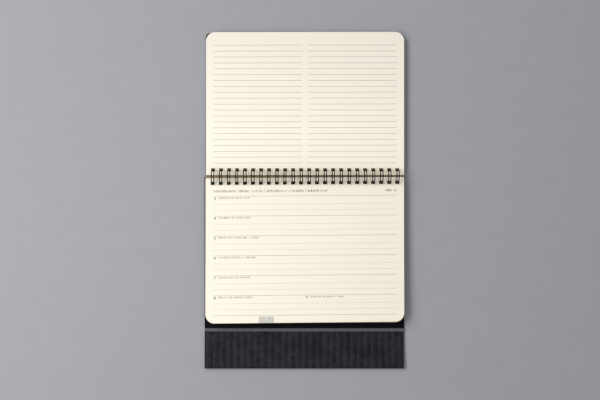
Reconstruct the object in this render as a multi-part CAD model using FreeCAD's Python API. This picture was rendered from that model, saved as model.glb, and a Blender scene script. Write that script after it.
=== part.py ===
import FreeCAD, Part
import math
import os

# Desk calendar, twin-loop wire bound, lying open flat.  Millimetres, +Z up.
# X runs along the spine, the front cover opens towards +Y and the back cover
# and its flap lie towards -Y.  The origin is on the desk under the middle of
# the whole calendar.

# Leaves
leaf_width = 209.6  # along the spine
leaf_length = 152.0  # from the punched edge to the outer edge
leaf_corner = 8.0  # radius of the two outer corners
upper_stack = 2.0  # turned leaves, measured at the spine
lower_stack = 3.8  # leaves still to come, measured at the spine
lower_rise = 3.2  # how far the lower leaves spring up towards their outer edge
lower_sag = 0.7  # how far that rise stays below a straight line half way out
upper_slack = 1.05  # play that the upper leaves have drawn up towards the spine
lower_slack = 0.5  # the same for the lower leaves

# Punched row
hole_side = 4.2  # square holes
punch_margin = 3.0  # sheet left between a hole and the punched edge
row_margin = 7.0  # least distance from a leaf's side to the first hole's middle
loop_pitch = 25.4 / 3.0  # three loops to the inch

# Wire
ring_outside = 16.0  # outside diameter of the closed rings
wire_diameter = 1.0
side_play = 0.25  # between a loop and each side of its hole
wire_play = 0.2  # between the wire and the ends of the cover's holes
seam_gap = 0.6  # between the loops' tips and their roots, under the spine
root_bend = 1.0  # bend radius where a loop turns into the straight link
end_stub = 2.0  # straight wire left beyond the first and the last loop
wire_sides = 4  # flats round the wire
ring_steps = 12  # straight steps round one ring
tip_steps = 3  # steps round a loop's tip

# Covers
board = 2.0  # wrapped board of the covers
lining = 0.25  # lining sheet glued to the inside of each cover
overhang = 1.2  # back cover and flap beyond the leaves, at the sides
front_corner = 4.5  # corner radius of the front cover, which is flush with the leaves
turn_in = 3.0  # wrapping turned in round the edges, left bare by the lining
back_reach = 159.6  # spine to the end of the back cover
spine_gap = 0.9  # between the two covers
wrap_edge = 0.35  # edge bevel left by the wrapping

# Flap and its cloth hinge
flap_reach = 203.0  # spine to the flap's free edge
flap_board = 2.2
flap_edge = 0.8  # rounding along the free edge, in three flats
hinge_cloth = 0.6  # thickness of the cloth where it folds
fold_channel = 0.8  # back cover's end to the fold line
fold_web = 1.1  # fold line to the foot of the cloth's slope
slope_run = 3.2  # length of the cloth's slope up to the flap
fold_play = 0.12  # between the fold bead and the back cover's lip
rib_pitch = 7.3  # mean distance between the embossed lines
rib_wander = 0.2  # how far a line strays from an even spacing
rib_width = 2.6
rib_depth = 0.16

# Worked out from the sizes above
ring_radius = (ring_outside - wire_diameter) / 2.0
ring_height = ring_outside / 2.0
strand_gap = hole_side - 2.0 * side_play - wire_diameter
loop_count = int((leaf_width - 2.0 * row_margin) / loop_pitch) + 1
loop_middles = [(i - (loop_count - 1) / 2.0) * loop_pitch for i in range(loop_count)]
cover_width = leaf_width + 2.0 * overhang


def ring_offset(radius, z):
    """Distance from the spine's plane to a circle round the ring axis, at height z."""
    return math.sqrt(radius ** 2 - (ring_height - z) ** 2)


# The wire passes under the punched edge of each cover, which lifts that edge.
hole_near = spine_gap / 2.0 + punch_margin
hole_floor = ring_height - math.sqrt((ring_radius - wire_diameter / 2.0 - wire_play) ** 2 - hole_near ** 2)
hole_far = ring_offset(ring_radius + wire_diameter / 2.0 + wire_play, hole_floor + board + lining)
inner_top = hole_floor + board + lining  # where the leaves start, at the spine


def leaf_hole(z, slack):
    """Distance from the spine's plane to the middle of a leaf's holes at height z."""
    return ring_offset(ring_radius, z) - slack


def punched_edge(z, slack):
    """Distance from the spine's plane to a leaf's punched edge at height z."""
    return leaf_hole(z, slack) - hole_side / 2.0 - punch_margin


front_reach = punched_edge(inner_top, upper_slack) + leaf_length
open_reach = punched_edge(inner_top + upper_stack, upper_slack) + leaf_length
spine_y = (flap_reach - open_reach) / 2.0  # centres the open calendar on the origin


def box(x_low, x_high, y_low, y_high, z_low, z_high):
    corner = FreeCAD.Vector(x_low, y_low, z_low)
    return Part.makeBox(x_high - x_low, y_high - y_low, z_high - z_low, corner)


def across(points, width):
    """A solid of the given outline in the YZ plane, as wide as given along X."""
    corners = [FreeCAD.Vector(-width / 2.0, y, z) for y, z in points]
    face = Part.Face(Part.makePolygon(corners + corners[:1]))
    return face.extrude(FreeCAD.Vector(width, 0, 0))


def upright_edges(solid, y):
    """Edges at this y that run neither along X nor along Y."""
    found = []
    for edge in solid.Edges:
        low, high = edge.Vertexes[0].Point, edge.Vertexes[-1].Point
        steep = abs(high.z - low.z) > abs(high.y - low.y) and abs(high.x - low.x) < 1e-6
        if steep and min(abs(low.y - y), abs(high.y - y)) < 1e-6:
            found.append(edge)
    return found


def turned_back(solid):
    """The same shape on the back cover's side of the spine."""
    solid.rotate(FreeCAD.Vector(0, 0, 0), FreeCAD.Vector(0, 0, 1), 180)
    return solid


def cover_tilt(reach):
    """Angle of a cover whose outer edge lies on the desk and whose punched edge rides on the wire."""
    return math.degrees(math.asin(hole_floor / (reach - hole_near)))


def tilted(solid, reach):
    """Turned about the outer edge on the desk until the punched edge rides on the wire."""
    solid.rotate(FreeCAD.Vector(0, reach, 0), FreeCAD.Vector(1, 0, 0), -cover_tilt(reach))
    return solid


def cover_top(y, reach):
    """Height of the lined inside of a cover, at a distance y from the spine's plane."""
    slope = math.radians(cover_tilt(reach))
    return (reach - y) * math.tan(slope) + (board + lining) / math.cos(slope)


def punches(z_low, z_high):
    """The cover's row of holes, as upright bars."""
    half = hole_side / 2.0
    bars = [box(x - half, x + half, hole_near, hole_far, z_low, z_high) for x in loop_middles]
    return Part.makeCompound(bars)


def sheet(width, y_low, y_high, z_low, z_high, corner):
    """A flat sheet with its two outer corners rounded."""
    plate = box(-width / 2.0, width / 2.0, y_low, y_high, z_low, z_high)
    if corner > 0:
        plate = plate.makeFillet(corner, upright_edges(plate, y_high))
    return plate


def outline_edges(solid, z):
    """The outline edges of a sheet's face at height z."""
    face = [f for f in solid.Faces if abs(f.CenterOfMass.z - z) < 1e-6][0]
    return face.OuterWire.Edges


def front_cover():
    plate = sheet(leaf_width, spine_gap / 2.0, front_reach, 0, board, front_corner)
    plate = plate.makeChamfer(wrap_edge, outline_edges(plate, board) + outline_edges(plate, 0))
    return tilted(plate.cut(punches(-board, 2.0 * board)), front_reach)


def cover_lining(width, reach, corner):
    """A sheet inside the turned-in wrapping of a cover this wide, with the same row of holes."""
    plate = sheet(
        width - 2.0 * turn_in, spine_gap / 2.0 + wrap_edge, reach - turn_in, board, board + lining, corner
    )
    return tilted(plate.cut(punches(0, 2.0 * board)), reach)


def back_cover():
    plate = sheet(cover_width, spine_gap / 2.0, back_reach, 0, board, 0)
    plate = plate.makeChamfer(wrap_edge, outline_edges(plate, board) + outline_edges(plate, 0))
    plate = tilted(plate.cut(punches(-board, 2.0 * board)), back_reach)
    lip_end = back_reach + fold_channel - hinge_cloth / 2.0 - fold_play
    foot = back_reach - 2.0 * board
    lip = across(
        [(foot, 0), (lip_end, 0), (lip_end, hinge_cloth), (back_reach, hinge_cloth), (foot, board / 2.0)],
        cover_width,
    )
    return turned_back(plate.fuse(lip).removeSplitter())


def leaf_stack(thickness, slack, reach, rise, sag):
    """A stack of leaves on a cover: its holes and punched edges follow the rings."""
    top_z = inner_top + thickness
    low_hole, high_hole = leaf_hole(inner_top, slack), leaf_hole(top_z, slack)
    low, high = punched_edge(inner_top, slack), punched_edge(top_z, slack)
    foot = FreeCAD.Vector(-leaf_width / 2.0, low, cover_top(low, reach))
    toe = FreeCAD.Vector(-leaf_width / 2.0, low + leaf_length, cover_top(low + leaf_length, reach))
    end = FreeCAD.Vector(-leaf_width / 2.0, high + leaf_length, top_z + rise)
    head = FreeCAD.Vector(-leaf_width / 2.0, high, top_z)
    middle = (end + head) * 0.5 - FreeCAD.Vector(0, 0, sag)
    over = Part.Arc(end, middle, head).toShape() if sag else Part.makeLine(end, head)
    sides = [Part.makeLine(foot, toe), Part.makeLine(toe, end), over, Part.makeLine(head, foot)]
    block = Part.Face(Part.Wire(sides)).extrude(FreeCAD.Vector(leaf_width, 0, 0))
    block = block.makeFillet(leaf_corner, upright_edges(block, end.y))
    return block.cut(leaning_punches(low_hole, high_hole, inner_top, top_z))


def leaning_punches(low_y, high_y, low_z, high_z):
    """The leaves' row of holes, leaning outwards with height as the rings do."""
    half = hole_side / 2.0
    lean = (high_y - low_y) / (high_z - low_z)
    under, above = low_z - board, high_z + board
    y_under, y_above = low_y - lean * board, high_y + lean * board
    outline = [(y_under - half, under), (y_under + half, under), (y_above + half, above), (y_above - half, above)]
    bar = across(outline, hole_side)
    bars = []
    for x in loop_middles:
        bars.append(bar.translated(FreeCAD.Vector(x, 0, 0)))
    return Part.makeCompound(bars)


def serpentine():
    """The wire's centre line laid out flat: points (x, s, turn), where s runs round the ring and
    turn is the wire's heading, 0 along +X and 90 towards greater s."""
    root = (seam_gap + wire_diameter) / 2.0
    tip = 2.0 * math.pi * ring_radius - root
    half = strand_gap / 2.0
    rise = root + root_bend
    fall = tip - half
    points = [(loop_middles[0] - half - root_bend - end_stub, root, 0)]
    for x in loop_middles:
        for turn in (0, 45, 90):
            out = math.radians(turn)
            points.append((x - half - root_bend * (1 - math.sin(out)), rise - root_bend * math.cos(out), turn))
        for step in range(1, ring_steps + 1):
            points.append((x - half, rise + (fall - rise) * step / ring_steps, 90))
        for step in range(1, tip_steps):
            out = math.pi * step / tip_steps
            points.append((x - half * math.cos(out), fall + half * math.sin(out), 90 - math.degrees(out)))
        for step in range(ring_steps + 1):
            points.append((x + half, fall + (rise - fall) * step / ring_steps, -90))
        for turn in (-45, 0):
            out = math.radians(turn)
            points.append((x + half + root_bend * (1 + math.sin(out)), rise - root_bend * math.cos(out), turn))
    points.append((loop_middles[-1] + half + root_bend + end_stub, root, 0))
    return points


def rolled_section(x, s, turn):
    """The wire's section where the flat line passes (x, s), rolled round the ring axis."""
    heading = math.radians(turn)
    corners = []
    for side in range(wire_sides):
        angle = 2.0 * math.pi * side / wire_sides
        aside = wire_diameter / 2.0 * math.cos(angle)
        out = ring_radius + wire_diameter / 2.0 * math.sin(angle)
        flat_x = x - aside * math.sin(heading)
        flat_s = s + aside * math.cos(heading)
        round_it = flat_s / ring_radius
        corners.append(FreeCAD.Vector(flat_x, out * math.sin(round_it), ring_height - out * math.cos(round_it)))
    return Part.makePolygon(corners + corners[:1])


def wire_binding():
    """One wire: every loop goes up one strand, round its tip and back, then along to the next."""
    return Part.makeLoft([rolled_section(*point) for point in serpentine()], True, True)


def hinge_strip():
    """Cloth that folds in the channel behind the back cover and slopes up to the flap."""
    fold = back_reach + fold_channel
    foot, head = fold + fold_web, fold + fold_web + slope_run
    bead = hinge_cloth / 2.0
    half = cover_width / 2.0
    low = FreeCAD.Vector(-half, fold, 0)
    back = FreeCAD.Vector(-half, fold - bead, bead)
    high = FreeCAD.Vector(-half, fold, hinge_cloth)
    slope_foot = FreeCAD.Vector(-half, foot, hinge_cloth)
    slope_head = FreeCAD.Vector(-half, head, flap_board - wrap_edge)
    heel = FreeCAD.Vector(-half, head, 0)
    outline = [Part.Arc(low, back, high).toShape()]
    corners = [high, slope_foot, slope_head, heel, low]
    for start, stop in zip(corners, corners[1:]):
        outline.append(Part.makeLine(start, stop))
    return turned_back(Part.Face(Part.Wire(outline)).extrude(FreeCAD.Vector(cover_width, 0, 0)))


def flap():
    """Wrapped board with embossed lines from the hinge to the free edge."""
    head = back_reach + fold_channel + fold_web + slope_run
    outline = [(head, 0), (flap_reach, 0)]
    for turn in (0, 30, 60, 90):
        out = math.radians(turn)
        y = flap_reach - flap_edge * (1 - math.cos(out))
        outline.append((y, flap_board - flap_edge * (1 - math.sin(out))))
    outline.append((head, flap_board))
    plate = across(outline, cover_width)
    return turned_back(plate.cut(embossed_lines(head)).removeSplitter())


def embossed_lines(head):
    """Shallow V grooves across the flap, not quite evenly spaced."""
    count = int((cover_width - 2.0 * rib_pitch) / rib_pitch)
    grooves = []
    for i in range(count + 1):
        x = (i - count / 2.0) * rib_pitch + rib_wander * math.sin(2.4 * i)
        left = FreeCAD.Vector(x - rib_width, head - 1.0, flap_board + rib_depth)
        right = FreeCAD.Vector(x + rib_width, head - 1.0, flap_board + rib_depth)
        bottom = FreeCAD.Vector(x, head - 1.0, flap_board - rib_depth)
        face = Part.Face(Part.makePolygon([left, right, bottom, left]))
        grooves.append(face.extrude(FreeCAD.Vector(0, flap_reach - head + 2.0, 0)))
    return Part.makeCompound(grooves)


def calendar():
    return {
        "front_cover": front_cover(),
        "front_lining": cover_lining(leaf_width, front_reach, front_corner - turn_in),
        "upper_pages": leaf_stack(upper_stack, upper_slack, front_reach, 0, 0),
        "wire_binding": wire_binding(),
        "lower_pages": turned_back(leaf_stack(lower_stack, lower_slack, back_reach, lower_rise, lower_sag)),
        "back_lining": turned_back(cover_lining(cover_width, back_reach, 0)),
        "back_cover": back_cover(),
        "hinge_strip": hinge_strip(),
        "flap": flap(),
    }


os.makedirs("parts", exist_ok=True)
for name, shape in calendar().items():
    shape.translate(FreeCAD.Vector(0, spine_y, 0))
    shape.exportStep("parts/" + name + ".step")
    print(name, shape.ShapeType, round(shape.Volume), "mm3")
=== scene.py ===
import math

import bmesh
import bpy
import numpy as np
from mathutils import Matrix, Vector


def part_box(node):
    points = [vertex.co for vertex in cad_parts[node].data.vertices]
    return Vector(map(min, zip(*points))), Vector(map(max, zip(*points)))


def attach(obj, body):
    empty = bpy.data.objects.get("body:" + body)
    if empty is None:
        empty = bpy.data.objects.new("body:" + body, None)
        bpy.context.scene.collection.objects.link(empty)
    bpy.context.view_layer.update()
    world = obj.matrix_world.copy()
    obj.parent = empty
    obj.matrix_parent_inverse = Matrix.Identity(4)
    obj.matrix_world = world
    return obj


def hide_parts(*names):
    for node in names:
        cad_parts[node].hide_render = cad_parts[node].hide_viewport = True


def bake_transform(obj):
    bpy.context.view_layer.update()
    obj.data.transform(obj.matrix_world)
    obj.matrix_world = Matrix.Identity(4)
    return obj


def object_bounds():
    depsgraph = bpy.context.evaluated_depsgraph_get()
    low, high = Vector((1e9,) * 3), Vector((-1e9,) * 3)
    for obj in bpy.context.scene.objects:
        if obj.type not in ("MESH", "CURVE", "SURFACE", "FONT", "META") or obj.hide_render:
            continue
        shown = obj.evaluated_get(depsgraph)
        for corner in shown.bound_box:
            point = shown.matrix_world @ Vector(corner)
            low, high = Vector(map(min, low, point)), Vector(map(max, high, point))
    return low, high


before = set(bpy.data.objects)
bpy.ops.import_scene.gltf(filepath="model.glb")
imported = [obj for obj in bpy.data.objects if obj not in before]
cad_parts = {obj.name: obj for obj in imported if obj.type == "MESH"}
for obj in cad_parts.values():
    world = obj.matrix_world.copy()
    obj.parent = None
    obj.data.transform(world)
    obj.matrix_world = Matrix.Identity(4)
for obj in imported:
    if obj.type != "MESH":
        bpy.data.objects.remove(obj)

cad_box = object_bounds()
MM = 0.001

# ---------------------------------------------------------------------------------------------
# Covers: two boards wrapped in dark ribbed paper.  The back cover is wider than the leaves, the
# front cover is flush with them, and the wrapping is turned in round every edge.
# ---------------------------------------------------------------------------------------------


class Value:
    """A value or colour inside a material.  Arithmetic on it adds Math nodes to that material."""

    def __init__(self, finish, socket):
        self.finish, self.socket = finish, socket

    def math(self, operation, *others, clamp=False):
        inputs = dict(enumerate((self, *others)))
        return self.finish.node("Math", {"operation": operation, "use_clamp": clamp}, inputs)

    def __add__(self, other):
        return self.math("ADD", other)

    def __sub__(self, other):
        return self.math("SUBTRACT", other)

    def __rsub__(self, other):
        return self.finish.node("Math", {"operation": "SUBTRACT"}, {0: other, 1: self})

    def __mul__(self, other):
        return self.math("MULTIPLY", other)

    def __truediv__(self, other):
        return self.math("DIVIDE", other)

    __radd__ = __add__
    __rmul__ = __mul__

    def clamped(self):
        return self.math("ADD", 0.0, clamp=True)

    def band(self, middle, half, soft):
        """1 where the value lies within half of middle, fading to 0 over soft beyond that."""
        return (1.0 + (half - (self - middle).math("ABSOLUTE")) / soft).clamped()

    def between(self, low, high, soft):
        return self.band((low + high) / 2.0, (high - low) / 2.0, soft)


class Finish:
    """A material round one Principled shader, with constants set on its own sockets."""

    def __init__(self, name, roughness=0.6, **constants):
        self.material = bpy.data.materials.new(name)
        self.material.use_nodes = True
        self.tree = self.material.node_tree
        self.shader = self.tree.nodes["Principled BSDF"]
        self.shader.inputs["Roughness"].default_value = roughness
        for socket, constant in constants.items():
            self.shader.inputs[socket.replace("_", " ")].default_value = constant

    def node(self, kind, settings=None, inputs=None, output=0):
        """Adds a node of this kind, applies its settings, then sets or links its sockets."""
        made = self.tree.nodes.new("ShaderNode" + kind)
        for key, setting in (settings or {}).items():
            setattr(made, key, setting)
        for key, value in (inputs or {}).items():
            if isinstance(value, Value):
                self.tree.links.new(value.socket, made.inputs[key])
            else:
                made.inputs[key].default_value = value
        return Value(self, made.outputs[output])

    def object_place(self):
        return self.node("TexCoord", output="Object")

    def carried(self, name):
        """The vector that each point of the mesh carries under this name."""
        return self.node("Attribute", {"attribute_name": name}, output="Vector")

    def parts(self, vector):
        """The x, y and z of a vector."""
        made = self.node("SeparateXYZ", inputs={0: vector}).socket.node
        return [Value(self, made.outputs[i]) for i in range(3)]

    def vector(self, x, y, z=0.0):
        return self.node("CombineXYZ", inputs={0: x, 1: y, 2: z})

    def noise(self, vector, scale, detail=2.0, roughness=0.5):
        return self.node(
            "TexNoise", inputs={"Vector": vector, "Scale": scale, "Detail": detail, "Roughness": roughness}
        )

    def mix(self, share, low, high):
        """A colour between low, where share is 0, and high, where it is 1."""
        colours = {6: low, 7: high}
        colours = {key: c if isinstance(c, Value) else (*c, 1.0) for key, c in colours.items()}
        return self.node("Mix", {"data_type": "RGBA"}, {0: share, **colours}, output=2)

    def feed(self, **links):
        for socket, value in links.items():
            self.tree.links.new(value.socket, self.shader.inputs[socket.replace("_", " ")])

    def bump(self, height, distance):
        self.feed(Normal=self.node("Bump", inputs={"Height": height, "Distance": distance}))


RIB_PITCH, RIB_SWAY, SWAY_LENGTH, FINE_RIB = 7.3, 0.2, 4.7, 0.62  # millimetres
FLANK_LAG = 2.05  # radians
WRAP_DARK = (0.0040, 0.0045, 0.0072)
WRAP_PALE = (0.0270, 0.0278, 0.0370)


def rib_turn(x):
    """How far x, in millimetres, is along the ribs, in radians: one turn from groove to groove,
    with a small slow sway, so that the spacing is not quite even."""
    return math.tau * (x + RIB_SWAY * np.sin(x / SWAY_LENGTH)) / RIB_PITCH


def rib_height(x):
    """Relief of the embossed ribs, 0 at the foot of a groove to 1 on the land: the square root of
    half of 1 + cos(turn), which gives broad round lands and narrow grooves between them."""
    return (0.5 + 0.5 * np.cos(rib_turn(x))) ** 0.5


def ridge(turn, sharpness):
    """1 once in each turn and near 0 between: half of 1 - cos(turn), raised to the sharpness."""
    return ((0.5 - 0.5 * turn.math("COSINE")) + 0.0001).math("POWER", sharpness)


def ribbed_wrap():
    """Near-black embossed paper: a dark line of painted shade in each groove, a paler flank of painted
    highlight beside it, fine threads across the lands and a dull sheen that comes and goes."""
    finish = Finish("ribbed_wrap", roughness=0.55, Specular_IOR_Level=0.12)
    place = finish.object_place()
    x, y, z = finish.parts(place)
    across = x / MM
    turn = (across + RIB_SWAY * (across / SWAY_LENGTH).math("SINE")) * (math.tau / RIB_PITCH)
    # Painted shade darkens each groove, and a painted highlight lightens the flank beside it.
    groove = ridge(turn, 5.0)
    flank = ridge(turn - FLANK_LAG, 3.0)
    waver = finish.noise(finish.vector(x, 0.0), 160.0)
    fine = (across * (math.tau / FINE_RIB) + 3.0 * waver).math("SINE")
    grain = finish.noise(finish.vector(x * 5.0, y * 0.5, z * 5.0), 1000.0, detail=3.0)
    streak = finish.noise(finish.vector(x, y * 0.12, z), 420.0, detail=3.0)
    mottle = finish.noise(place, 60.0, detail=4.0, roughness=0.6)
    blotch = finish.noise(place, 190.0, detail=3.0, roughness=0.6)
    tone = 0.42 + 0.20 * flank - 0.24 * groove + 0.07 * fine
    patches = 0.95 * (mottle - 0.5) + 1.2 * (blotch - 0.5)
    shade = (tone + 0.5 * (grain - 0.5) + 0.6 * (streak - 0.5) + patches).clamped()
    finish.feed(Base_Color=finish.mix(shade, WRAP_DARK, WRAP_PALE), Roughness=0.48 + 0.2 * grain)
    finish.bump(0.45 * fine + 0.6 * grain + 0.4 * streak, 0.045 * MM)
    return finish.material


def measured(parts, key):
    """A vector of every vertex or face, such as its place or its normal, as rows of an array."""
    values = np.empty(len(parts) * 3)
    parts.foreach_get(key, values)
    return values.reshape(-1, 3)


def papered(mesh, first, second, chosen):
    """Gives a mesh two materials: the second on its chosen faces, the first on all others."""
    mesh.materials.clear()
    mesh.materials.append(first)
    mesh.materials.append(second)
    mesh.polygons.foreach_set("material_index", chosen.astype(np.int32))


def dress(node, outside, inside=None):
    """Gives a CAD node one material outside and, where its faces look up at rest, one inside."""
    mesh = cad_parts[node].data
    papered(mesh, outside, inside or outside, measured(mesh.polygons, "normal")[:, 2] > 0.5)


wrap = ribbed_wrap()

# ---------------------------------------------------------------------------------------------
# Linings: a smooth dark sheet glued inside each cover.  The wrapping that is turned in round it
# gets the same near-black finish as painted shade, as do the cloth's fold and the flap's free edge.
# ---------------------------------------------------------------------------------------------

# Near-black, so that this finish also serves as painted shade.
LINING_DARK = (0.0022, 0.0022, 0.0032)
LINING_PALE = (0.0070, 0.0070, 0.0095)


def lining_and_shade_paper():
    """Smooth blue-black paper with a faint speckle, also put on as painted shade."""
    finish = Finish("lining_and_shade_paper", roughness=0.62, Specular_IOR_Level=0.04)
    place = finish.object_place()
    speckle = finish.noise(place, 1400.0, detail=3.0)
    cloud = finish.noise(place, 24.0)
    tone = (0.6 * speckle + 0.4 * cloud).clamped()
    finish.feed(Base_Color=finish.mix(tone, LINING_DARK, LINING_PALE), Roughness=0.55 + 0.15 * speckle)
    finish.bump(speckle, 0.02 * MM)
    return finish.material


lining_and_shade = lining_and_shade_paper()
dress("front_lining", lining_and_shade)
dress("back_lining", lining_and_shade)
# The covers' faces that look up at rest, the turned-in wrapping, take this finish as painted shade.
dress("front_cover", wrap, lining_and_shade)
dress("back_cover", wrap, lining_and_shade)

# ---------------------------------------------------------------------------------------------
# Leaves: two piles of ivory writing paper, punched with square holes along the spine and cut
# round at the two outer corners.  The piles fan a little, so each bundle of leaves sits askew.
# ---------------------------------------------------------------------------------------------

TURNED, COMING = 1.0, -1.0  # the side beyond the spine, and the side before it
LEAF_WIDTH = 209.6 * MM
LEAF_LENGTH = 152.0 * MM
LEAF_CORNER = 9.5 * MM
LEAF_CALIPER = 0.11 * MM
HOLE_WIDTH = 3.9 * MM
HOLE_HEIGHT = 3.5 * MM
HOLE_NEAR = 3.7 * MM
LEAF_DRIFT = {TURNED: 0.65 * MM, COMING: 0.38 * MM}
LEAF_SHORT = {TURNED: 0.28 * MM, COMING: -0.47 * MM}
PILE_TILT = {TURNED: 0.0, COMING: 0.0080}
BUNDLE_SHIFT = 0.10  # millimetres
BUNDLE_TURN = 0.0007  # radians
LEAF_LINES = 34.0
CORNER_STEPS = 9
LEAF_ROWS = 18
LOOP_COUNT = 24
LOOP_PITCH = 25.4 / 3.0 * MM
LOWER_SAG = 0.7 * MM
ROOT_GAP = 0.08 * MM
ROOT_SLACK = 0.1 * MM
HEAD_REACH = 2.0 * MM
# Painted shade on the piles' cut edges: how soft its borders are, and how far it reaches from the punched
# edge and in from the outer end.
SHADE_SOFTNESS = 0.3 * MM
ROOT_SHADE_REACH = 0.6 * MM
END_SHADE_REACH = 1.5 * MM
HOLES_HALF = 100.0 * MM
IVORY_DARK, IVORY_PALE = (0.860, 0.812, 0.690), (0.925, 0.885, 0.762)
# The cut edges' tan, partly their own colour and partly painted shade, and the browns of painted shade along
# the punched edge, at the pile's end and in the upper and lower holes.
EDGE_TAN_AND_SHADE, ROOT_SHADE_BROWN, END_SHADE_BROWN = (0.50, 0.385, 0.265), (0.32, 0.244, 0.140), (0.27, 0.20, 0.135)
UPPER_HOLE_SHADE, LOWER_HOLE_SHADE = (0.190, 0.130, 0.055), (0.070, 0.048, 0.026)
loop_middles = (np.arange(LOOP_COUNT) - (LOOP_COUNT - 1) / 2.0) * LOOP_PITCH
wire_low, wire_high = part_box("wire_binding")
SPINE_Y = (wire_low.y + wire_high.y) / 2.0


def leaf_grid():
    """A leaf laid flat: x across it, y from its punched edge.  Columns run straight and close in
    over the last rows, by half width = W/2 - r + r cos(a) at y = L - r + r sin(a), to round the
    corners.  Returns x, y as arrays of rows by columns and a mask of the cells that are paper."""
    half_hole = HOLE_WIDTH / 2.0
    side_columns = np.linspace(-LEAF_WIDTH / 2.0, loop_middles[0] - half_hole, 4)[:-1]
    hole_columns = loop_middles[:, None] + half_hole * np.array([-1.0, 0.0, 1.0])
    columns = np.concatenate([side_columns, hole_columns.ravel(), -side_columns[::-1]])
    turn = np.linspace(0.0, np.pi / 2.0, CORNER_STEPS)[1:]
    straight = LEAF_LENGTH - LEAF_CORNER
    punched = [0.0, HOLE_NEAR / 2.0, HOLE_NEAR]
    plain = np.linspace(HOLE_NEAR + HOLE_HEIGHT, straight, LEAF_ROWS)
    rows = np.concatenate([punched, plain, straight + LEAF_CORNER * np.sin(turn)])
    narrowing = np.zeros(len(rows))
    narrowing[-len(turn):] = LEAF_CORNER * (1.0 - np.cos(turn))
    x = columns[None, :] * (1.0 - narrowing[:, None] / (LEAF_WIDTH / 2.0))
    y = np.repeat(rows[:, None], len(columns), axis=1)
    middle_x = (columns[1:] + columns[:-1]) / 2.0
    middle_y = (rows[1:] + rows[:-1]) / 2.0
    in_hole_x = np.abs(middle_x[:, None] - loop_middles[None, :]).min(axis=1) < half_hole
    in_hole_y = np.abs(middle_y - HOLE_NEAR - HOLE_HEIGHT / 2.0) < HOLE_HEIGHT / 2.0
    return x, y, ~(in_hole_y[:, None] & in_hole_x[None, :])


def set_out(name, data):
    """Puts a mesh, a lamp or a camera into the scene as an object of this name."""
    made = bpy.data.objects.new(name, data)
    bpy.context.scene.collection.objects.link(made)
    return made


def stacked_mesh(name, levels, paper, facts):
    """A closed mesh from copies of one grid, lowest first: paper cells of the first and last copy
    are its underside and top, and the open edges between are joined by walls from copy to copy.
    levels has the shape copies x rows x columns x 3, and facts are point attributes like it."""
    copies, rows, columns = levels.shape[:3]
    index = np.arange(rows * columns).reshape(rows, columns)
    corners = [index[:-1, :-1], index[:-1, 1:], index[1:, 1:], index[1:, :-1]]
    cells = np.stack([c[paper] for c in corners], axis=1)
    sides = np.concatenate([cells[:, [i, (i + 1) % 4]] for i in range(4)])
    code = sides[:, 0] * rows * columns + sides[:, 1]
    twin = sides[:, 1] * rows * columns + sides[:, 0]
    start, end = sides[~np.isin(code, twin)].T
    last = (copies - 1) * rows * columns
    faces = [cells[:, ::-1], cells + last]
    for k in range(copies - 1):
        low, high = k * rows * columns, (k + 1) * rows * columns
        faces.append(np.stack([start + low, end + low, end + high, start + high], axis=1))
    faces = np.concatenate(faces)
    used, faces = np.unique(faces, return_inverse=True)
    faces = faces.reshape(-1, 4)
    mesh = bpy.data.meshes.new(name)
    mesh.from_pydata(levels.reshape(-1, 3)[used].tolist(), [], faces.tolist())
    for key, values in facts.items():
        attribute = mesh.attributes.new(key, "FLOAT_VECTOR", "POINT")
        attribute.data.foreach_set("vector", values.reshape(-1, 3)[used].astype(np.float32).ravel())
    mesh.update()
    return set_out(name, mesh)


def profile_corners(node, side):
    """Where a pile of leaves has its four corners in side view, from its solid: the punched edge
    and the outer edge of the lowest leaf, then of the top leaf, as (distance from the spine, z).
    The top leaf's are the highest point near the punched edge and the farthest high one."""
    points = measured(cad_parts[node].data.vertices, "co")
    out, z = (points[:, 1] - SPINE_Y) * side, points[:, 2]
    inner = np.argmin(out)
    out = np.where(out < out[inner] + ROOT_SLACK, ROOT_GAP, out)
    head = np.argmax(z - 10.0 * np.maximum(out - out[inner] - HEAD_REACH, 0.0))
    foot_end = np.argmin(z)
    toe = np.argmax(out + 0.2 * z)
    return [(out[i], z[i]) for i in (inner, foot_end, head, toe)]


def pile_height(corners, y, level):
    """Place of a leaf point in side view: a straight blend of the pile's four corners, by the share
    of the way out from the punched edge and the level from 0 at the lowest leaf to 1 at the top."""
    share = y / LEAF_LENGTH
    low = [(1 - share) * corners[0][i] + share * corners[1][i] for i in (0, 1)]
    high = [(1 - share) * corners[2][i] + share * corners[3][i] for i in (0, 1)]
    return [(1 - level) * low[i] + level * high[i] for i in (0, 1)]


def leaf_pile(name, node, side, bundles, sag, seed):
    """Bundles of leaves between the pile's lowest and top level, each shifted and turned a little
    against the next, so the cut edges show as fine steps.  The pile's outer end is cut aslant."""
    random = np.random.default_rng(seed)
    x, y, paper = leaf_grid()
    corners = profile_corners(node, side)
    levels, places = [], []
    for k in range(bundles):
        shift_x, shift_y = random.uniform(-BUNDLE_SHIFT, BUNDLE_SHIFT, 2) * MM
        turn = random.uniform(-BUNDLE_TURN, BUNDLE_TURN)
        for level in (k / bundles, (k + 1) / bundles):
            out, z = pile_height(corners, y, level)
            z = z - sag * level * 4.0 * (y / LEAF_LENGTH) * (1.0 - y / LEAF_LENGTH)
            aslant = (PILE_TILT[side] * x - LEAF_SHORT[side]) * y / LEAF_LENGTH
            new_x = LEAF_DRIFT[side] + side * (x + shift_x - turn * y)
            new_y = SPINE_Y + side * (out + shift_y + turn * x + aslant)
            levels.append(np.stack([new_x, new_y, z], axis=-1))
            places.append(np.stack([x, y, np.full_like(x, level)], axis=-1))
    return stacked_mesh(name, np.array(levels), paper, {"on_leaf": np.array(places)})


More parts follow.
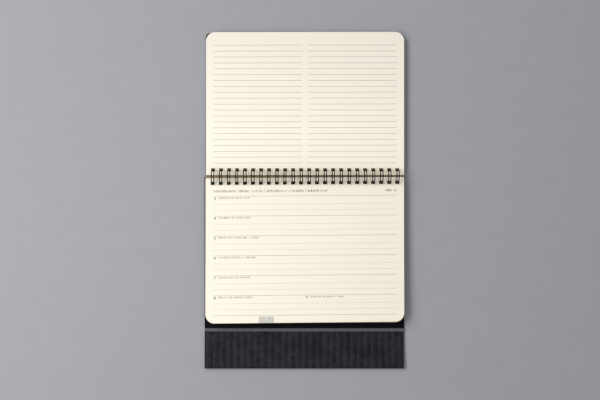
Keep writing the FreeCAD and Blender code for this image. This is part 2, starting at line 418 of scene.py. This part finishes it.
def paper_colour(finish, place):
    """Ivory paper: a slow drift of tone over the sheet, and fibres a fraction of a millimetre long."""
    fibre = finish.noise(place, 2600.0, detail=4.0, roughness=0.7)
    cloud = finish.noise(place, 14.0, detail=3.0)
    tone = (0.55 * fibre + 0.45 * cloud).clamped()
    return finish.mix(tone, IVORY_DARK, IVORY_PALE), fibre


def leaf_edges():
    """The piles' cut edges: a tan that is partly painted shade, a fine dark line of painted shade under
    each leaf, uneven as guillotined paper is, and browner with painted shade along the punched side,
    inside the holes, the lower ones most, and where the top of the pile shows past its sheet."""
    finish = Finish("leaf_edges", roughness=0.8, Specular_IOR_Level=0.25)
    place = finish.object_place()
    x, y, level = finish.parts(finish.carried("on_leaf"))
    colour, fibre = paper_colour(finish, place)
    wander = finish.noise(place, 90.0, detail=2.0)
    line = (level * (math.tau * LEAF_LINES) + 5.0 * wander).math("SINE")
    edge = finish.mix((0.52 + 0.30 * line + 0.3 * (fibre - 0.5)).clamped(), colour, EDGE_TAN_AND_SHADE)
    # Painted shade along the punched edge, at the pile's outer end where its top shows past the sheet, and
    # in the holes.
    at_root = y.between(-1.0, ROOT_SHADE_REACH, SHADE_SOFTNESS)
    edge = finish.mix(at_root * (0.86 + 0.14 * line), edge, ROOT_SHADE_BROWN)
    on_top = level.between(0.985, 1.1, 0.005)
    at_end = y.between(LEAF_LENGTH - END_SHADE_REACH, LEAF_LENGTH + MM, SHADE_SOFTNESS) * on_top
    edge = finish.mix(at_end * (0.80 + 0.15 * line), edge, END_SHADE_BROWN)
    by_holes = y.between(1.5 * MM, HOLE_NEAR + HOLE_HEIGHT + 0.3 * MM, SHADE_SOFTNESS)
    in_holes = by_holes * x.band(0.0, HOLES_HALF, 0.5 * MM)
    lower = finish.parts(place)[1].math("LESS_THAN", SPINE_Y)
    hole = finish.mix(lower, UPPER_HOLE_SHADE, LOWER_HOLE_SHADE)
    colour = finish.mix(in_holes * (0.86 + 0.14 * line), edge, hole)
    finish.feed(Base_Color=colour, Roughness=0.75 + 0.15 * fibre)
    finish.bump(0.5 * fibre - 0.5 * line, 0.04 * MM)
    return finish.material


edge_paper = leaf_edges()
turned_pile = leaf_pile("turned_leaves", "upper_pages", TURNED, bundles=9, sag=0.0, seed=3)
coming_pile = leaf_pile("coming_leaves", "lower_pages", COMING, bundles=18, sag=LOWER_SAG, seed=5)
for pile, body, node in ((turned_pile, "front", "upper_pages"), (coming_pile, "back", "lower_pages")):
    pile.data.materials.append(edge_paper)
    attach(pile, body)
    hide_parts(node)

# ---------------------------------------------------------------------------------------------
# Open leaves: the two sheets that lie on top.  The upper one is ruled in two columns for notes,
# the lower one is a week with a heading, a block of lines for each day and a month tab.
# ---------------------------------------------------------------------------------------------

SHEET_GAP = 0.05 * MM
PRINT_EDGE = 0.05 * MM
SPINE_SHADE = 7.2 * MM
WIRE_HALF = 99.5 * MM
NOTE_RULE = {"first": 12.6 * MM, "step": 6.272 * MM, "count": 21, "width": 0.30 * MM}
NOTE_COLUMNS = ((-96.8 * MM, -3.1 * MM), (2.7 * MM, 96.9 * MM))
# Painted shade on the note sheet: towards its outer edge, and between the loops.
NOTE_OUTER_SHADE, NOTE_SHADED = (0.800, 0.752, 0.650), (0.905, 0.840, 0.680)
NOTE_INK = (0.17, 0.175, 0.15)


def laid_leaf(node, side, tilt, pulled, inset, lift, sag):
    """How a sheet lies on top of a pile, as a function from leaf x and distance y from its punched
    edge to a place: the pile's top level raised by lift(x, y), with rows that slant by a tilt that
    grows from the punched edge to the outer one, a punched edge pulled along by the wire and an
    outer edge inset from the pile's."""
    corners = profile_corners(node, side)

    def place(x, y, above=0.0):
        out, z = pile_height(corners, y, 1.0)
        share = y / LEAF_LENGTH
        z = z - sag * 4.0 * share * (1.0 - share) + lift(x, y) + above
        slant = tilt[0] + (tilt[1] - tilt[0]) * share
        out = out + slant * x + pulled * (1.0 - share) - (LEAF_SHORT[side] + inset) * share
        return np.stack([LEAF_DRIFT[side] + side * x, SPINE_Y + side * out, z], axis=-1)

    return place


def open_leaf(name, place, side, body, colour):
    """One sheet, its underside and top a leaf's thickness apart."""
    x, y, paper = leaf_grid()
    spot = np.stack([side * x, y, np.zeros_like(x)], axis=-1)
    levels = np.array([place(x, y), place(x, y, LEAF_CALIPER)])
    made = stacked_mesh(name, levels, paper, {"on_leaf": np.array([spot, spot])})
    made.data.materials.append(colour)
    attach(made, body)


def ruled(y, first, step, count, width):
    """1 on each of count lines, step apart from the first one: the distance to the nearest whole
    number of steps is under half the line's width."""
    steps = (y - first) / step
    nearest = (steps + 0.5).math("FLOOR")
    off = ((steps - nearest) * step).math("ABSOLUTE")
    return (1.0 + (width / 2.0 - off) / (0.04 * MM)).clamped() * nearest.between(-0.4, count - 0.6, 0.1)


def by_the_spine(finish, x, y, colour, shaded):
    """Paper between the loops, where the dark wire throws a soft warm shade."""
    under_wire = y.between(-MM, SPINE_SHADE, 0.8 * MM) * x.band(0.0, WIRE_HALF, 1.5 * MM)
    return finish.mix(under_wire, colour, shaded)


def note_rulings():
    """Fine grey rules in two columns, on ivory paper that painted shade makes greyer towards its outer edge.
    """
    finish = Finish("note_leaf_paper", roughness=0.72, Specular_IOR_Level=0.25)
    place = finish.object_place()
    x, y, _ = finish.parts(finish.carried("on_leaf"))
    colour, fibre = paper_colour(finish, place)
    lines = ruled(y, **NOTE_RULE)
    left, right = [x.between(start, end, PRINT_EDGE) for start, end in NOTE_COLUMNS]
    ink = lines * (left + right) * (0.75 + 0.25 * finish.noise(place, 900.0))
    # Painted shade, greyer towards the outer edge.
    outer_shaded = finish.mix(((y / LEAF_LENGTH) * 1.2 - 0.4).clamped(), colour, NOTE_OUTER_SHADE)
    outer_shaded = by_the_spine(finish, x, y, outer_shaded, NOTE_SHADED)
    finish.feed(Base_Color=finish.mix(ink, outer_shaded, NOTE_INK), Roughness=0.66 + 0.12 * fibre)
    finish.bump(fibre, 0.012 * MM)
    return finish.material


def note_lift(x, y):
    """The note sheet lies a hair above its pile."""
    return np.full_like(x, SHEET_GAP)


note_place = laid_leaf(
    "upper_pages", TURNED, tilt=(0.0014, 0.0014), pulled=0.6 * MM, inset=0.0, lift=note_lift, sag=0.0
)
open_leaf("note_leaf", note_place, TURNED, "front", note_rulings())

FIRST_RULE = 19.05 * MM
DAY_STEP = 20.84 * MM
RULE_STEP = 6.2 * MM
DAY_COUNT = 6
LAST_BLOCK = FIRST_RULE + (DAY_COUNT - 1) * DAY_STEP
RULE_ENDS = (-96.5 * MM, 97.0 * MM)
STRONG_RULE = 0.27 * MM
FAINT_RULE = 0.19 * MM
TAB_SIDES = (-48.4 * MM, -32.7 * MM)
TAB_ENDS = (145.4 * MM, 154.0 * MM)
LETTER_PITCH = 0.58
HEADING_FOOT = 14.85 * MM
HEADING_HEIGHT = 2.8 * MM
WORD_HEIGHT = 2.1 * MM
WORD_DROP = 2.65 * MM
HEADING = (  # where each word starts and ends, in millimetres
    (-96.5, -72.4), (-69.3, -58.6), (-57.2, -43.9), (-40.8, -18.4),
    (-17.2, -14.6), (-13.4, -1.1), (2.6, 23.7), (84.9, 92.0),
)
HEADING_BARS = (-70.8, -42.3, 0.8)
BAR_HALF = 0.12 * MM
BAR_ENDS = (-15.2 * MM, -11.4 * MM)
# Painted shade on the week sheet: darker and warmer towards its right side, and between the loops.
WEEK_RIGHT_SHADE, WEEK_SHADED = (0.880, 0.800, 0.645), (0.840, 0.775, 0.630)
FAINT_INK, RULE_INK, TYPE_INK = (0.25, 0.24, 0.19), (0.14, 0.145, 0.125), (0.12, 0.13, 0.14)
TAB_GREY = (0.572, 0.555, 0.496)
LAST_WORDS = ((6.1, 13.0), (13.9, 22.4), (23.3, 32.6), (34.1, 41.4))
DAY_WORDS = (
    ((-91.4, -75.6), (-74.0, -58.4)),
    ((-91.4, -79.0), (-77.8, -66.9), (-65.7, -57.4)),
    ((-91.4, -76.4), (-75.0, -60.9), (-59.3, -48.0)),
    ((-91.4, -78.2), (-76.6, -64.0), (-62.8, -51.2)),
    ((-91.4, -81.2), (-80.0, -69.4), (-68.0, -57.4)),
    ((-91.4, -77.0), (-75.8, -63.6), (-62.2, -54.2)),
)


def greeked(finish, x, y, base, height, words, seed):
    """A row of small strokes that stands for print: each letter cell gets two stems joined at the
    top, and by a random number for the cell a foot and an ascender too, and its own weight.  It
    stands on the line y = base, and words are the starts and ends of its words along x."""
    pitch = LETTER_PITCH * height
    cell = (x / pitch).math("FLOOR")
    in_cell = x / pitch - cell
    chance = finish.node("TexWhiteNoise", {"noise_dimensions": "1D"}, {"W": cell + seed})
    rise = (y - base) / height
    left = in_cell.between(0.18, 0.36, 0.08)
    across = in_cell.between(0.18, 0.78, 0.08)
    right = in_cell.between(0.62, 0.78, 0.08)
    stem = left * rise.between(0.0, 0.62, 0.08)
    stroke = right * rise.between(0.0, 0.62, 0.08)
    bow = rise.band(0.56, 0.07, 0.06) * across
    foot = rise.band(0.06, 0.07, 0.06) * across * chance.math("GREATER_THAN", 0.7)
    tall = left * rise.between(0.0, 1.0, 0.08) * chance.math("GREATER_THAN", 0.6)
    shape = stem.math("MAXIMUM", stroke).math("MAXIMUM", bow).math("MAXIMUM", foot).math("MAXIMUM", tall)
    reach = 0.0
    for start, end in words:
        reach = x.between(start * MM, end * MM, 0.02 * MM) + reach
    return shape * reach * (0.45 + 0.55 * chance)


def week_print():
    """Week sheet: heading, day rules with two fainter rules in each block, small day words and a
    grey month tab at the outer edge, on paper that painted shade darkens towards the right."""
    finish = Finish("week_leaf_paper", roughness=0.72, Specular_IOR_Level=0.25)
    place = finish.object_place()
    x, y, _ = finish.parts(finish.carried("on_leaf"))
    colour, fibre = paper_colour(finish, place)
    strong = ruled(y, FIRST_RULE, DAY_STEP, DAY_COUNT + 1, STRONG_RULE)
    middle = ruled(y, FIRST_RULE + DAY_STEP - RULE_STEP, DAY_STEP, DAY_COUNT, FAINT_RULE)
    upper = ruled(y, FIRST_RULE + DAY_STEP - 2.0 * RULE_STEP, DAY_STEP, DAY_COUNT, FAINT_RULE)
    width = x.between(*RULE_ENDS, PRINT_EDGE)
    down = -1.0 * y
    heading = greeked(finish, x, down, -HEADING_FOOT, HEADING_HEIGHT, HEADING, seed=11)
    for bar in HEADING_BARS:
        stroke = x.band(bar * MM, BAR_HALF, 0.04 * MM)
        heading = heading + stroke * down.between(*BAR_ENDS, PRINT_EDGE)
    at_right = x.between(84.0 * MM, 98.0 * MM, 0.5 * MM)
    heading = heading * (1.15 + 0.80 * at_right)
    words = 0.0
    for day, day_words in enumerate(DAY_WORDS):
        base = -(FIRST_RULE + day * DAY_STEP + WORD_DROP)
        words = greeked(finish, x, down, base, WORD_HEIGHT, day_words, seed=31 + 7 * day) + words
    words = greeked(finish, x, down, -(LAST_BLOCK + WORD_DROP), WORD_HEIGHT, LAST_WORDS, seed=97) + words
    tab = x.between(*TAB_SIDES, PRINT_EDGE) * y.between(*TAB_ENDS, PRINT_EDGE)
    wear = 0.75 + 0.25 * finish.noise(place, 900.0)
    # Painted shade, darker and warmer towards the right.
    right_shaded = finish.mix((0.25 + 0.7 * x / LEAF_WIDTH).clamped(), colour, WEEK_RIGHT_SHADE)
    right_shaded = by_the_spine(finish, x, y, right_shaded, WEEK_SHADED)
    faint = (0.75 * middle + 0.75 * upper).clamped()
    inked = finish.mix(faint * width * wear, right_shaded, FAINT_INK)
    inked = finish.mix(strong * width * wear, inked, RULE_INK)
    inked = finish.mix(((heading + 1.05 * words) * wear).clamped(), inked, TYPE_INK)
    inked = finish.mix(tab, inked, TAB_GREY)
    finish.feed(Base_Color=inked, Roughness=0.66 + 0.12 * fibre)
    finish.bump(fibre, 0.012 * MM)
    return finish.material


SPRING_START, SPRING_SPAN = 0.35, 0.65
SPRING_RISE, SPRING_LEAN = 0.30, 0.20  # millimetres


def week_lift(x, y):
    """The week sheet springs off the pile by the square of the way out beyond its first third,
    more at its left corner."""
    out = np.clip((y / LEAF_LENGTH - SPRING_START) / SPRING_SPAN, 0.0, 1.0) ** 2
    return SHEET_GAP + out * (SPRING_RISE + SPRING_LEAN * x / (LEAF_WIDTH / 2.0)) * MM


def print_ink(name, colour, darker):
    """Matt printing ink, slightly uneven where the paper took less of it."""
    finish = Finish(name, roughness=0.7, Specular_IOR_Level=0.25)
    patch = finish.noise(finish.object_place(), 2400.0, detail=3.0)
    finish.feed(Base_Color=finish.mix(patch, darker, colour), Roughness=0.62 + 0.15 * patch)
    return finish.material


CAPITAL = 0.7  # a figure's height as a share of its type's size
INK_HALF = 0.01 * MM
WELD = 0.002 * MM


def numerals(name, words, sheet, ink):
    """Printed figures on a sheet: each (text, height, weight, x, y) is set in type, made a thin
    mesh, and every point is carried onto the sheet.  Here x and y are the middle of its foot."""
    printed = bmesh.new()
    for text, height, weight, x, y in words:
        type_face = bpy.data.curves.new("figure", "FONT")
        type_face.body, type_face.size, type_face.align_x = text, height / CAPITAL, "CENTER"
        type_face.extrude, type_face.offset = INK_HALF, weight
        setting = bpy.data.objects.new("figure", type_face)
        mesh = bpy.data.meshes.new_from_object(setting)
        u, v, w = measured(mesh.vertices, "co").T
        mesh.vertices.foreach_set("co", sheet(-(x + u), y - v, LEAF_CALIPER + 2.0 * INK_HALF + w).ravel())
        printed.from_mesh(mesh)
        bpy.data.objects.remove(setting)
        bpy.data.curves.remove(type_face)
        bpy.data.meshes.remove(mesh)
    bmesh.ops.remove_doubles(printed, verts=printed.verts, dist=WELD)
    bmesh.ops.recalc_face_normals(printed, faces=printed.faces)
    figures_mesh = bpy.data.meshes.new(name)
    printed.to_mesh(figures_mesh)
    printed.free()
    figures_mesh.materials.append(ink)
    made = set_out(name, figures_mesh)
    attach(made, "back")


week_place = laid_leaf(
    "lower_pages", COMING, tilt=(0.0067, 0.0100), pulled=-0.65 * MM, inset=0.45 * MM, lift=week_lift,
    sag=LOWER_SAG,
)
open_leaf("week_leaf", week_place, COMING, "back", week_print())
DATE = (2.75 * MM, 0.06 * MM)
DATE_DROP = 3.6 * MM
FIRST_DATE = 3
LEFT_DATE, RIGHT_DATE = -94.95 * MM, 2.0 * MM
WEEK_NUMBER = ("12", 2.1 * MM, 0.05 * MM, 95.1 * MM, 14.75 * MM)
TAB_NUMBER = ("1", 2.1 * MM, 0.17 * MM, -40.5 * MM, 148.9 * MM)
figures = [
    (str(FIRST_DATE + day), *DATE, LEFT_DATE, FIRST_RULE + day * DAY_STEP + DATE_DROP)
    for day in range(DAY_COUNT)
]
figures.append((str(FIRST_DATE + DAY_COUNT), *DATE, RIGHT_DATE, LAST_BLOCK + DATE_DROP))
figures.append(WEEK_NUMBER)
slate_ink = print_ink("slate_ink", colour=(0.150, 0.165, 0.180), darker=(0.085, 0.095, 0.110))
numerals("day_numerals", figures, week_place, slate_ink)
tab_ink = print_ink("tab_white", colour=(0.98, 0.97, 0.92), darker=(0.92, 0.91, 0.86))
numerals("tab_numeral", [TAB_NUMBER], week_place, tab_ink)

# ---------------------------------------------------------------------------------------------
# Wire: one length of steel wire under nearly black lacquer, bent into twin loops three to the
# inch, pushed through the holes and closed to rings, so that tips and roots meet under the spine.
# ---------------------------------------------------------------------------------------------

WIRE_DIAMETER = 1.12 * MM
WIRE_DRIFT = 0.85 * MM
STRAND_GAP = 2.35 * MM
ROOT_BEND = 1.0 * MM
SEAM_GAP = 0.6 * MM
END_STUB = 2.0 * MM
WIRE_SIDES = 10
LOOP_LEAN, LOOP_BOW, LOOP_SHIFT = 0.16, 0.07, 0.05  # millimetres
LEAN_SHARE = 0.6
EVEN_BOW = 0.05 * MM
BEND_STEPS, STRAND_STEPS, TIP_STEPS = 6, 34, 11
LACQUER_DARK, LACQUER_PALE = (0.004, 0.003, 0.0034), (0.010, 0.008, 0.009)
ring_outside = wire_high.z
RING_RADIUS = (ring_outside - WIRE_DIAMETER) / 2.0
RING_HEIGHT = ring_outside / 2.0


def loop_line():
    """One loop of the wire laid out flat, as (x, s): a quarter bend up out of the root, a straight
    strand, half a turn round the tip, the strand back and a quarter bend into the link."""
    root = (SEAM_GAP + WIRE_DIAMETER) / 2.0
    half = STRAND_GAP / 2.0
    rise = root + ROOT_BEND
    fall = math.tau * RING_RADIUS - root - half
    bend = np.linspace(0.0, np.pi / 2.0, BEND_STEPS)
    strand = np.linspace(rise, fall, STRAND_STEPS)[1:-1]
    tip = np.linspace(0.0, np.pi, TIP_STEPS)
    up = np.stack([-half - ROOT_BEND * (1 - np.sin(bend)), rise - ROOT_BEND * np.cos(bend)], axis=1)
    left = np.stack([np.full_like(strand, -half), strand], axis=1)
    over = np.stack([-half * np.cos(tip), fall + half * np.sin(tip)], axis=1)
    right = left[::-1] * [-1, 1]
    down = up[::-1] * [-1, 1]
    return np.concatenate([up, left, over, right, down]), rise, fall


def wire_path():
    """The whole flat line: the loop repeated along the spine, each with its own small lean, bow and
    shift as hand-closed wire has, and a straight stub at both ends."""
    random = np.random.default_rng(17)
    loop, rise, fall = loop_line()
    travel = np.clip((loop[:, 1] - rise) / (fall - rise), 0.0, 1.0)
    pieces = []
    for middle in loop_middles:
        lean, bow, shift = random.normal(0.0, [LOOP_LEAN, LOOP_BOW, LOOP_SHIFT]) * MM
        outward = np.sign(loop[:, 0]) * (EVEN_BOW + bow) * np.sin(np.pi * travel)
        leaning = lean * np.sin(math.tau * travel) * LEAN_SHARE
        x = middle + WIRE_DRIFT + loop[:, 0] + outward + shift + leaning
        pieces.append(np.stack([x, loop[:, 1]], axis=1))
    line = np.concatenate(pieces)
    start, end = line[0] - [END_STUB, 0.0], line[-1] + [END_STUB, 0.0]
    return np.concatenate([[start], line, [end]])


def tube(name, points, smooth=False):
    """A closed mesh over rings of points, of the shape rings x sides x 3: quads from each ring to
    the next, and a flat face at both ends."""
    rings, sides = points.shape[:2]
    ring = np.arange(rings - 1)[:, None] * sides
    this = np.arange(sides)[None, :]
    after = (this + 1) % sides
    quads = np.stack([ring + this, ring + sides + this, ring + sides + after, ring + after], axis=-1)
    quads = quads.reshape(-1, 4).tolist()
    last = (rings - 1) * sides
    caps = [list(range(sides)), list(range(last, last + sides))[::-1]]
    mesh = bpy.data.meshes.new(name)
    mesh.from_pydata(points.reshape(-1, 3).tolist(), [], quads + caps)
    if smooth:
        mesh.polygons.foreach_set("use_smooth", [True] * len(quads) + [False] * len(caps))
    mesh.update()
    return set_out(name, mesh)


def wire_mesh(name):
    """The flat line rolled round the ring axis, y = R sin(s / R) and z = h - R cos(s / R), with a
    round section carried along it between the radial direction and the side of its heading."""
    flat = wire_path()
    angle = flat[:, 1] / RING_RADIUS
    radial = np.stack([np.zeros_like(angle), np.sin(angle), -np.cos(angle)], axis=1)
    axis = np.stack([flat[:, 0], np.full_like(angle, SPINE_Y), np.full_like(angle, RING_HEIGHT)], axis=1)
    centre = radial * RING_RADIUS + axis
    heading = np.gradient(centre, axis=0)
    heading /= np.linalg.norm(heading, axis=1, keepdims=True)
    side = np.cross(heading, radial)
    side /= np.linalg.norm(side, axis=1, keepdims=True)
    turn = np.linspace(0.0, math.tau, WIRE_SIDES, endpoint=False)[None, :, None]
    section = radial[:, None] * np.cos(turn) + side[:, None] * np.sin(turn)
    return tube(name, centre[:, None] + WIRE_DIAMETER / 2.0 * section, smooth=True)


def bronze_lacquer():
    """Nearly black bronze lacquer over steel: a dull gloss, with slight streaks from the bending."""
    finish = Finish("bronze_lacquer", roughness=0.28, Metallic=0.3, Specular_IOR_Level=0.08)
    streak = finish.noise(finish.object_place(), 420.0, detail=3.0)
    finish.feed(Base_Color=finish.mix(streak, LACQUER_DARK, LACQUER_PALE), Roughness=0.20 + 0.16 * streak)
    finish.bump(streak, 0.01 * MM)
    return finish.material


wire = wire_mesh("twin_loop_wire")
wire.data.materials.append(bronze_lacquer())
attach(wire, "back")
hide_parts("wire_binding")

# ---------------------------------------------------------------------------------------------
# Hinge: a strip of grey book cloth glued to the end of the back cover and to the flap, lying in
# the groove between them and sloping up to the flap's edge.  Its fold takes the near-black lining finish as
# painted shade.
# ---------------------------------------------------------------------------------------------

CLOTH_PROUD = 0.35 * MM
CLOTH_COLUMNS = 90
BEAD = 0.3 * MM
WEB_END = 1.0 * MM
PAD_DIP = 0.5 * MM
FOLD_STEPS, PAD_STEPS = 7, 16
THREADS = 2400.0  # to the metre
CLOTH_DARK, CLOTH_PALE = (0.058, 0.058, 0.062), (0.138, 0.138, 0.143)
strip_low, strip_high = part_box("hinge_strip")
FOLD_EDGE = strip_high.y - 1.35 * MM


def strip_outline():
    """The strip in side view, once round, as (distance from its start, z): flat underneath, a round
    fold bead, a flat web, then a pad that swells up to the flap by a quarter sine and dips as it
    meets the board."""
    depth = strip_high.y - strip_low.y
    arc = np.linspace(-np.pi / 2.0, np.pi / 2.0, FOLD_STEPS)
    round_fold = np.stack([BEAD - BEAD * np.cos(arc), BEAD + BEAD * np.sin(arc)], axis=1)
    climb = np.linspace(0.0, 1.0, PAD_STEPS)
    rise = (strip_high.z - 2.0 * BEAD) * np.sin(np.pi / 2.0 * climb) ** 0.8 - PAD_DIP * climb ** 14
    slope = np.stack([WEB_END + (depth - WEB_END) * climb, 2.0 * BEAD + rise], axis=1)
    return np.concatenate([round_fold, slope, [[depth, 0.0]]])


def outline_along(x, outline):
    """A closed side-view outline set up at every x, as rings of points for a tube."""
    points = np.empty((len(x), len(outline), 3))
    points[..., 0] = x[:, None]
    points[..., 1:] = outline[None]
    return points


def book_cloth():
    """Grey book cloth: a plain weave of fine threads with slubs and a pale nap."""
    finish = Finish(
        "book_cloth", roughness=0.85, Sheen_Weight=0.35, Sheen_Roughness=0.4, Specular_IOR_Level=0.3
    )
    x, y, z = finish.parts(finish.carried("at_rest"))
    warp = (x * (math.tau * THREADS)).math("SINE")
    weft = (y * (math.tau * THREADS)).math("SINE")
    slub = finish.noise(finish.vector(x * 3.0, y * 0.6, z), 320.0, detail=3.0)
    thread = (0.5 + 0.25 * warp * weft + 0.7 * (slub - 0.5)).clamped()
    finish.feed(Base_Color=finish.mix(thread, CLOTH_DARK, CLOTH_PALE), Roughness=0.78 + 0.15 * thread)
    finish.bump(thread, 0.06 * MM)
    return finish.material


outline = strip_outline()
outline = np.stack([strip_high.y - outline[:, 0], strip_low.z + outline[:, 1]], axis=1)
strip_x = np.linspace(strip_low.x, strip_high.x + CLOTH_PROUD, CLOTH_COLUMNS)
strip_points = outline_along(strip_x, outline)
cloth = tube("hinge_cloth", strip_points)
at_rest = cloth.data.attributes.new("at_rest", "FLOAT_VECTOR", "POINT")
at_rest.data.foreach_set("vector", strip_points.astype(np.float32).ravel())
# The faces in the fold take the near-black finish as painted shade in the groove.
papered(cloth.data, book_cloth(), lining_and_shade, measured(cloth.data.polygons, "center")[:, 1] > FOLD_EDGE)
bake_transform(cloth)
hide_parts("hinge_strip")

# ---------------------------------------------------------------------------------------------
# Flap: a slightly warped board wrapped in the same ribbed paper, hung on the cloth, its free edge
# given the near-black lining finish as painted shade.  It closes over the leaves' outer edge, and folds
# under as a prop.
# ---------------------------------------------------------------------------------------------

FLAP_COLUMNS = 581
WRAP_PROUD = 0.8 * MM
FLAP_SHORT = 0.5 * MM
BOARD_WARP = 1.6 * MM
RIB_DEPTH = 0.18 * MM
LIP_BELOW = 0.25 * MM
LIP_WIDTH = 1.15 * MM
LIP_HEIGHT = 1.5 * MM
LIP_STEPS, TOP_STEPS, FLOOR_STEPS = 8, 9, 6
flap_low, flap_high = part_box("flap")


def flap_outline():
    """The board in side view: flat, with its wrapped free edge rounded by quarter ellipses, a
    small one below and a tall one above."""
    end = flap_low.y - WRAP_PROUD
    low, wide, tall = LIP_BELOW, LIP_WIDTH, LIP_HEIGHT
    turn = np.linspace(0.0, np.pi / 2.0, LIP_STEPS)
    under = np.stack([end + low - low * np.sin(turn), flap_low.z + low - low * np.cos(turn)], axis=1)
    over = np.stack([end + wide - wide * np.cos(turn), flap_high.z - tall + tall * np.sin(turn)], axis=1)
    back = np.linspace(end + wide, flap_high.y, TOP_STEPS)[1:]
    top = np.stack([back, np.full_like(back, flap_high.z)], axis=1)
    forth = np.linspace(flap_high.y, end + low, FLOOR_STEPS)[:-1]
    floor = np.stack([forth, np.full_like(forth, flap_low.z)], axis=1)
    return np.concatenate([under, over, top, floor])


def ribbed(points):
    """Presses the grooves into the board's upper side and its free edge, by rib_height, and warps
    the board up from the hinge by the square of the way out."""
    depth = RIB_DEPTH * (1.0 - rib_height(points[..., 0] / MM))
    share = np.clip((points[..., 2] - flap_low.z) / (flap_high.z - flap_low.z), 0.0, 1.0)
    out = (flap_high.y - points[..., 1]) / (flap_high.y - flap_low.y)
    points[..., 2] += BOARD_WARP * out ** 2 - depth * share ** 2
    return points


flap_x = np.linspace(flap_low.x, flap_high.x - FLAP_SHORT, FLAP_COLUMNS)
flap = tube("ribbed_flap", ribbed(outline_along(flap_x, flap_outline())))
# The free edge takes the near-black finish as painted shade.
papered(flap.data, wrap, lining_and_shade, measured(flap.data.polygons, "center")[:, 1] < flap_low.y)
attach(flap, "flap")
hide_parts("flap")

# ---------------------------------------------------------------------------------------------
# Desk, light and camera: a plain pale surface, a large soft light from the upper left, a small
# one low on the left, even light from all round, and a camera that looks straight down.
# ---------------------------------------------------------------------------------------------

DESK_REACH = 3.0
DESK_BELOW = 0.05 * MM
DESK_DARK, DESK_PALE = (0.318, 0.320, 0.344), (0.342, 0.344, 0.368)
KEY_COLOUR, SIDE_COLOUR, SKY_COLOUR = (1.0, 0.995, 0.985), (1.0, 0.995, 0.99), (0.97, 0.98, 1.0, 1.0)
SKY_STRENGTH = 0.50
CAMERA_LENS, CAMERA_SENSOR = 62.0, 36.0  # millimetres
CAMERA_LEFT, CAMERA_BEFORE, CAMERA_HEIGHT = 4.7 * MM, 24.9 * MM, 1.1


def desk_surface():
    """Plain pale grey with a trace of grain."""
    finish = Finish("desk_grey", roughness=0.8, Specular_IOR_Level=0.2)
    grain = finish.noise(finish.object_place(), 60.0, detail=4.0)
    finish.feed(Base_Color=finish.mix(grain, DESK_DARK, DESK_PALE))
    return finish.material


def area_light(name, place, aim, size, watts, colour):
    """A square soft light at place, turned to look at aim."""
    lamp = bpy.data.lights.new(name, "AREA")
    lamp.size, lamp.energy, lamp.color = size, watts, colour
    made = set_out(name, lamp)
    made.location = place
    made.rotation_mode = "QUATERNION"
    direction = np.array(aim, float) - np.array(place, float)
    made.rotation_quaternion = Vector(direction).to_track_quat("-Z", "Y")


desk_mesh = bpy.data.meshes.new("desk")
corners = [(-1, -1), (1, -1), (1, 1), (-1, 1)]
desk_level = cad_box[0].z - DESK_BELOW
desk_mesh.from_pydata([(DESK_REACH * x, DESK_REACH * y, desk_level) for x, y in corners], [], [(0, 1, 2, 3)])
desk = set_out("desk", desk_mesh)
desk_mesh.materials.append(desk_surface())

area_light("key", (-1.35, 0.9, 1.6), aim=(0.0, 0.0, 0.0), size=1.2, watts=28.0, colour=KEY_COLOUR)
area_light("side", (-0.58, -0.1, 0.72), aim=(0.0, -0.05, 0.0), size=0.35, watts=2.6, colour=SIDE_COLOUR)

world = bpy.data.worlds.new("studio")
bpy.context.scene.world = world
world.use_nodes = True
sky = world.node_tree.nodes["Background"]
sky.inputs["Color"].default_value = SKY_COLOUR
sky.inputs["Strength"].default_value = SKY_STRENGTH

camera_data = bpy.data.cameras.new("camera")
camera_data.lens, camera_data.sensor_width = CAMERA_LENS, CAMERA_SENSOR
camera = set_out("camera", camera_data)
camera.location = (-CAMERA_LEFT, SPINE_Y - CAMERA_BEFORE, CAMERA_HEIGHT)
bpy.context.scene.camera = camera
bpy.context.scene.view_settings.view_transform = "Standard"
